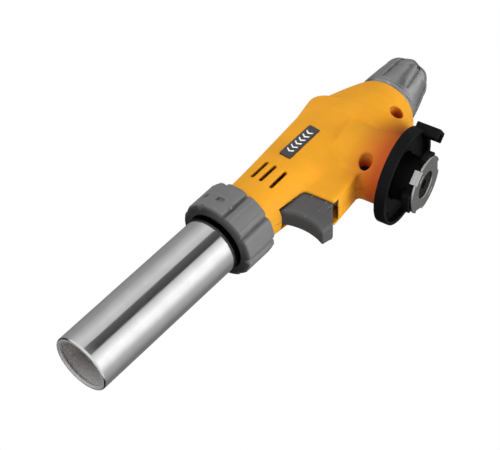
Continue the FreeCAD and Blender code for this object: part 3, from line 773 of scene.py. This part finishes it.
def moulded(name, colour, worn_highlight_colour, roughness, grain=0.35, coat=0.0, hollow_shade=0.35):
    """Injection-moulded plastic: fine spark texture, slow colour drift, painted shade in tight hollows, and
    lighter corners that are partly wear and partly a painted highlight.
    """
    n = Nodes(name)
    drift = n.noise(70.0, 3.0)
    darker = tuple(0.93 * c for c in colour)
    lighter = tuple(min(1.0, 1.06 * c) for c in colour)
    base = n.mix(n.span(drift, 0.0, 1.0, 0.3, 0.7), darker, lighter)
    # painted shade: tight hollows and grooves painted darker, where shade falls
    shaded = n.mix(n.hollows(), base, tuple(hollow_shade * c for c in colour))
    # corners painted lighter: partly wear, partly a painted highlight
    n.link(n.mix(n.edges(), shaded, worn_highlight_colour), n.shader.inputs["Base Color"])
    fine = n.noise(2600.0, 2.0)
    smear = n.noise(220.0, 4.0)
    n.link(n.span(smear, roughness - 0.07, roughness + 0.08, 0.3, 0.7), n.shader.inputs["Roughness"])
    waves = n.bump(n.noise(160.0, 2.0), 0.0002, 0.12)
    n.link(n.bump(fine, 0.00002, grain, waves), n.shader.inputs["Normal"])
    n.set(Coat_Weight=coat, Coat_Roughness=0.25)
    return n


def casing_material():
    """Yellow shell, with painted shade: the screw wells and the lower neck painted dark orange-red, where
    shade falls.
    """
    n = moulded("casing_yellow", (0.66, 0.290, 0.014), (0.72, 0.34, 0.03), 0.52, 0.25)
    split = n.tree.nodes.new("ShaderNodeSeparateXYZ")
    n.link(n.place.outputs["Object"], split.inputs["Vector"])
    # painted shade: darker orange-red towards the bottom of the neck and inside the screw wells
    low_down = n.span(split.outputs["Z"], 0.9, 0.0, 0.009, 0.023)
    round_neck = n.span(n.distance((0.0, 0.0, 0.0), (1.0, 1.0, 0.0)), 1.0, 0.0, 0.016, 0.023)
    painted_shade = n.math("MAXIMUM", n.math("MULTIPLY", low_down, round_neck), screw_well_shade(n, split))
    surface_colour = n.shader.inputs["Base Color"].links[0].from_socket
    n.link(n.mix(painted_shade, surface_colour, (0.46, 0.062, 0.010)), n.shader.inputs["Base Color"])
    n.set(Subsurface_Weight=0.15, Subsurface_Radius=(1.0, 0.32, 0.08), Subsurface_Scale=0.0022)
    n.set(Specular_IOR_Level=0.2)
    return n.material


def screw_well_shade(n, split):
    """1 inside the two counterbores, 0 elsewhere; marks where painted shade goes."""
    total = None
    for px, pz in SCREW_PLACES:
        away = n.distance((px * MM, 0.0, pz * MM), (1.0, 0.0, 1.0))
        inside = n.span(away, 1.0, 0.0, 0.0026, 0.0030)
        total = inside if total is None else n.math("ADD", total, inside)
    side = n.span(split.outputs["Y"], 0.0, 1.0, 0.0, 0.001)
    return n.math("MULTIPLY", total, side)


def grip_material():
    """Grey grip, with painted shade: the front face round the tube painted near black."""
    n = moulded("grip_grey", (0.125, 0.125, 0.127), (0.21, 0.21, 0.21), 0.46, 0.4)
    grey = n.shader.inputs["Base Color"].links[0].from_socket
    # painted shade on the front face round the tube
    face = n.span(n.ahead(), 0.0, 0.85, -0.0016, -0.0006)
    n.link(n.mix(face, grey, (0.022, 0.022, 0.023)), n.shader.inputs["Base Color"])
    return n.material


def trigger_material():
    return moulded("trigger_grey", (0.062, 0.062, 0.064), (0.15, 0.15, 0.15), 0.42, 0.35).material


def knob_material():
    """Darker, glossier plastic than the grips."""
    # corners painted much lighter than the body: partly wear, partly a painted highlight along the flutes
    n = moulded("knob_grey", (0.085, 0.086, 0.089), (0.42, 0.42, 0.42), 0.20, 0.12, 0.9)
    n.set(Specular_IOR_Level=1.0, Coat_IOR=2.2)
    return n.material


def black_material():
    n = moulded("plastic_black", (0.0045, 0.0045, 0.005), (0.015, 0.015, 0.016), 0.50, 0.35)
    n.set(Specular_IOR_Level=0.08)
    return n.material


def white_material():
    return moulded("plastic_white", (0.70, 0.68, 0.63), (0.78, 0.77, 0.73), 0.45, 0.25).material


def rubber_material():
    n = moulded("seal_rubber", (0.004, 0.004, 0.004), (0.012, 0.012, 0.012), 0.7, 0.5)
    n.set(Specular_IOR_Level=0.1)
    return n.material


def wire_material():
    return moulded("lead_sleeve", (0.45, 0.02, 0.015), (0.5, 0.06, 0.05), 0.5, 0.3).material


def metal(name, colour, roughness, stretch, lines=0.25, tint=None):
    return metal_nodes(name, colour, roughness, stretch, lines, tint).material


def metal_nodes(name, colour, roughness, stretch, lines=0.25, tint=None):
    """Worked metal: drawn or turned lines, slow smudges in the shine, corners painted brighter, partly wear
    and partly a painted highlight.
    """
    n = Nodes(name)
    n.set(Metallic=1.0)
    smudge = n.noise(140.0, 5.0)
    tint = tint or tuple(0.86 * c for c in colour)
    base = n.mix(n.span(smudge, 0.0, 0.7, 0.35, 0.75), colour, tint)
    bright = tuple(min(1.0, 1.1 * c) for c in colour)
    # corners painted brighter: partly wear, partly a painted highlight
    n.link(n.mix(n.edges(), base, bright), n.shader.inputs["Base Color"])
    drawn = n.noise(900.0, 3.0, stretch)
    smudged = n.span(smudge, -0.04, 0.05, 0.3, 0.7)
    lined = n.span(drawn, roughness - 0.03, roughness + 0.05, 0.3, 0.7)
    n.link(n.math("ADD", smudged, lined), n.shader.inputs["Roughness"])
    n.link(n.bump(drawn, 0.00001, lines), n.shader.inputs["Normal"])
    return n


def tube_material():
    """Polished outside, heat-dulled grey inside."""
    n = metal_nodes("steel_polished", (0.83, 0.83, 0.84), 0.09, (0.12, 1.0, 1.0), 0.04)
    inside = n.span(n.off_barrel(), 1.0, 0.0, 0.0119, 0.0122)
    polished = n.shader.inputs["Base Color"].links[0].from_socket
    n.link(n.mix(inside, polished, (0.46, 0.46, 0.47)), n.shader.inputs["Base Color"])
    smooth = n.shader.inputs["Roughness"].links[0].from_socket
    dull = n.span(n.noise(300.0), 0.40, 0.55)
    n.link(n.math("ADD", smooth, n.math("MULTIPLY", dull, inside)), n.shader.inputs["Roughness"])
    n.link(n.span(inside, 1.0, 0.3), n.shader.inputs["Metallic"])
    return n.material


def nickel_material():
    return metal("nickel_plate", (0.58, 0.58, 0.57), 0.30, (1.0, 0.2, 1.0), 0.35)


def brass_material():
    return metal("brass_turned", (0.83, 0.54, 0.20), 0.26, (1.0, 0.3, 0.3), 0.25, (0.62, 0.33, 0.10))


def copper_material():
    return metal("copper_drawn", (0.80, 0.42, 0.27), 0.3, (0.3, 1.0, 1.0), 0.2)


def cast_material():
    return metal("alloy_cast", (0.60, 0.60, 0.61), 0.48, (1.0, 1.0, 1.0), 0.6)


def spring_steel_material():
    return metal("steel_spring", (0.55, 0.55, 0.57), 0.3, (0.3, 1.0, 1.0), 0.2)


def screw_material():
    return metal("screw_blackened", (0.06, 0.06, 0.065), 0.35, (1.0, 1.0, 1.0), 0.3, (0.03, 0.03, 0.03))


def ceramic_material():
    return moulded("ceramic_glazed", (0.82, 0.80, 0.75), (0.85, 0.83, 0.80), 0.22, 0.1, 0.5).material


def badge_material():
    return moulded("badge_dark", (0.030, 0.031, 0.034), (0.09, 0.09, 0.09), 0.3, 0.15, 0.3).material


def mark_material():
    return moulded("badge_white", (0.82, 0.82, 0.80), (0.85, 0.85, 0.85), 0.35, 0.15, 0.0, 1.0).material


def give(thing, made):
    thing.data.materials.clear()
    thing.data.materials.append(made)


# ---------------------------------------------------------------- putting it together


def add(thing, made, body, nodes=()):
    give(thing, made)
    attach(thing, body)
    if nodes:
        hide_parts(*nodes)
    return thing


yellow = casing_material()
black = black_material()
brass = brass_material()
cast = cast_material()
steel = spring_steel_material()
rubber = rubber_material()
white = white_material()

add(casing_half("casing_right", 1), yellow, "torch_body", ["housing_right"])
add(casing_half("casing_left", -1), yellow, "torch_body", ["housing_left"])
add(collar(), grip_material(), "collar", ["collar"])
add(flame_tube(), tube_material(), "torch_body", ["flame_tube"])
add(trigger(), trigger_material(), "trigger", ["trigger"])
add(knob(), knob_material(), "knob", ["knob"])
add(guide_ring(), black, "guide_ring", ["guide_ring"])
add(boss(), black, "torch_body", ["boss"])
add(seat_plate(), nickel_material(), "torch_body", ["seat_plate"])
add(badge(), badge_material(), "torch_body", ["badge"])
add(badge_marks(), mark_material(), "torch_body", [])

CAD_MATERIALS = {
    "burner_tube": brass, "flame_holder": brass, "mixing_tube": brass, "gas_jet": brass, "jet_holder": brass,
    "valve_spindle": brass, "gland_nut": brass, "knob_insert": brass, "inlet_nozzle": brass,
    "tube_holder": cast, "valve_body": cast, "electrode": steel, "wave_washer": steel,
    "insulator": ceramic_material(), "housing_screws": screw_material(), "piezo_body": white,
    "piezo_plunger": white, "ignition_wire": wire_material(), "spindle_seal": rubber, "stem_seal": rubber,
    "gas_pipe": copper_material(),
}
for name, made in CAD_MATERIALS.items():
    for index in range(len(NODES[name].material_slots)):
        NODES[name].material_slots[index].material = made

# ---------------------------------------------------------------- camera, floor and light

RIGHT = Vector((-0.5154, -0.0395, -0.8560))
UP = Vector((-0.6541, 0.6635, 0.3632))
BACK = Vector((0.5537, 0.7471, -0.3678))
CAMERA_PLACE = Vector((0.39125, 0.45602, -0.18132))
LENS = 110.23


def camera():
    data = bpy.data.cameras.new("camera")
    data.lens = LENS
    data.sensor_width = 36.0
    thing = bpy.data.objects.new("camera", data)
    back = BACK.normalized()
    right = UP.cross(back).normalized()
    up = back.cross(right)
    turn = Matrix((right, up, back)).transposed()
    thing.matrix_world = Matrix.Translation(CAMERA_PLACE) @ turn.to_4x4()
    bpy.context.scene.collection.objects.link(thing)
    bpy.context.scene.camera = thing


def floor():
    # low enough to stay clear of the fill light, which shines up from below
    size, drop = 3.0, -1.25
    corners = [(-size, -size, drop), (size, -size, drop), (size, size, drop), (-size, size, drop)]
    thing = mesh_object("floor", np.array(corners), np.array([(0, 1, 2, 3)]))
    n = Nodes("floor_pale")
    n.link(n.mix(n.noise(6.0), (0.80, 0.80, 0.80), (0.84, 0.84, 0.84)), n.shader.inputs["Base Color"])
    n.set(Roughness=0.8)
    give(thing, n.material)
    thing.visible_glossy = False


def softbox(name, direction, distance, size, power):
    data = bpy.data.lights.new(name, "AREA")
    data.size = size
    data.energy = power
    thing = bpy.data.objects.new(name, data)
    aim = Vector((0.03, 0.0, 0.035))
    direction = Vector(direction).normalized()
    turn = direction.to_track_quat("Z", "Y").to_matrix().to_4x4()
    thing.matrix_world = Matrix.Translation(aim + direction * distance) @ turn
    thing.visible_camera = False
    thing.visible_glossy = False
    bpy.context.scene.collection.objects.link(thing)


# studio brightness round the barrel axis, in degrees from the camera's side: a dark card from -31 to -2,
# a large softbox from 3 to 70 and a dimmer one from -80 to -35
STUDIO = [(-179, 0.2), (-105, 0.35), (-60, 0.7), (-35, 0.6), (-31, 0.12), (-2, 0.06), (3, 0.6), (35, 1.25),
          (55, 1.15), (80, 0.55), (128, 0.2), (179, 0.2)]



def studio_world():
    world = bpy.data.worlds.new("studio")
    bpy.context.scene.world = world
    world.use_nodes = True
    tree = world.node_tree
    tree.nodes.clear()
    new = tree.nodes.new
    link = tree.links.new

    def dot(vector):
        node = new("ShaderNodeVectorMath")
        node.operation = "DOT_PRODUCT"
        link(place.outputs["Generated"], node.inputs[0])
        node.inputs[1].default_value = vector
        return node.outputs["Value"]

    def span(value, start, end, low=0.0, high=1.0):
        node = new("ShaderNodeMapRange")
        node.interpolation_type = "SMOOTHSTEP"
        node.inputs["From Min"].default_value = start
        node.inputs["From Max"].default_value = end
        node.inputs["To Min"].default_value = low
        node.inputs["To Max"].default_value = high
        link(value, node.inputs["Value"])
        return node.outputs["Result"]

    place = new("ShaderNodeTexCoord")
    forward = Vector(FORWARD)
    towards = (BACK - forward * BACK.dot(forward)).normalized()
    aside = forward.cross(towards).normalized()
    if aside.dot(RIGHT) < 0:
        aside = -aside
    angle = new("ShaderNodeMath")
    angle.operation = "ARCTAN2"
    link(dot(aside), angle.inputs[0])
    link(dot(towards), angle.inputs[1])
    ring = new("ShaderNodeMapRange")
    ring.inputs["From Min"].default_value = -math.pi
    ring.inputs["From Max"].default_value = math.pi
    link(angle.outputs[0], ring.inputs["Value"])
    ramp = new("ShaderNodeValToRGB")
    ramp.color_ramp.interpolation = "LINEAR"
    stops = ramp.color_ramp.elements
    for degrees, level in STUDIO:
        stop = stops.new((degrees + 180) / 360)
        stop.color = (level, level, level, 1.0)
    stops.remove(stops[0])
    stops.remove(stops[len(stops) - 1])
    link(ring.outputs["Result"], ramp.inputs["Fac"])
    ahead = span(dot(forward), -0.30, -0.05)
    beyond = span(dot(towards), -0.35, 0.05, 0.02, 0.85)
    shade = new("ShaderNodeMix")
    shade.data_type = "RGBA"
    link(ahead, shade.inputs["Factor"])
    link(ramp.outputs["Color"], shade.inputs["A"])
    link(beyond, shade.inputs["B"])
    light = new("ShaderNodeBackground")
    link(shade.outputs["Result"], light.inputs["Color"])
    seen = new("ShaderNodeBackground")
    seen.inputs["Color"].default_value = (1, 1, 1, 1)
    path = new("ShaderNodeLightPath")
    pick = new("ShaderNodeMixShader")
    link(path.outputs["Is Camera Ray"], pick.inputs["Fac"])
    link(light.outputs["Background"], pick.inputs[1])
    link(seen.outputs["Background"], pick.inputs[2])
    out = new("ShaderNodeOutputWorld")
    link(pick.outputs["Shader"], out.inputs["Surface"])


camera()
floor()
studio_world()
softbox("key", BACK * 0.6 + UP * 0.5 - RIGHT * 0.5, 0.9, 0.55, 4.8)
softbox("fill", BACK * 0.5 - UP * 0.25 + RIGHT * 0.9, 1.0, 0.6, 6.0)
softbox("top", Vector((-0.2, -0.3, 1.0)), 0.9, 0.7, 4.0)
softbox("far_side", Vector((0.1, -1.0, 0.25)), 1.0, 0.7, 4.0)
# below the torch and facing down, so that only the floor's bounce reaches the torch
softbox("floor_wash", Vector((0.0, 0.0, 1.0)), -0.45, 2.0, 45.0)
bpy.context.scene.view_settings.view_transform = "Standard"
